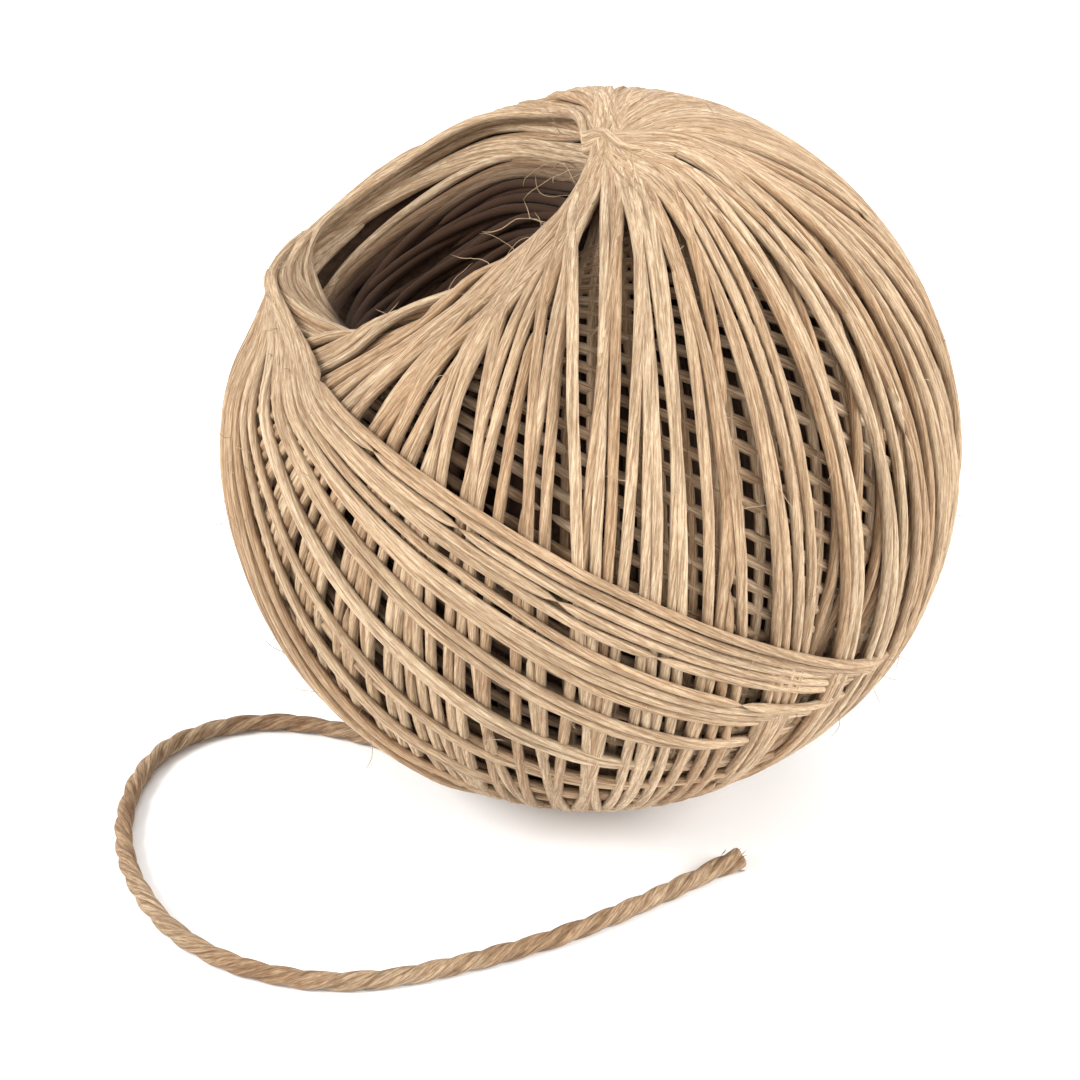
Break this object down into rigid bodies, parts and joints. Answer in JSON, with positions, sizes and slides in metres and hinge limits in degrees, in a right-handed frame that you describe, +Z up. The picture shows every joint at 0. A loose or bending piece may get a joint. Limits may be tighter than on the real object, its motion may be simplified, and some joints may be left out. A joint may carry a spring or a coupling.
{
  "type": "ball of twine",
  "caption": "Machine-wound ball of natural brown twine with an open mouth at one end and its loose end lying beside it in an open loop.",
  "frame": {"origin": "the middle of the ball's underside, on the surface it rests on", "axes": "+Z up; the winding axis leans to -X, so the mouth opens up and to -X; the loose end lies towards -X and -Y"},
  "size_m": [0.0926, 0.0862, 0.0771],
  "materials": {
    "wound_twine": "dry natural bast fibre, spun smooth with short stray fibres",
    "loose_twine": "dry natural bast fibre, its plies open and a little hairy"
  },
  "bodies": {
    "root": {"ball": "wound_twine", "loose_end": "loose_twine"}
  },
  "joints": []
}
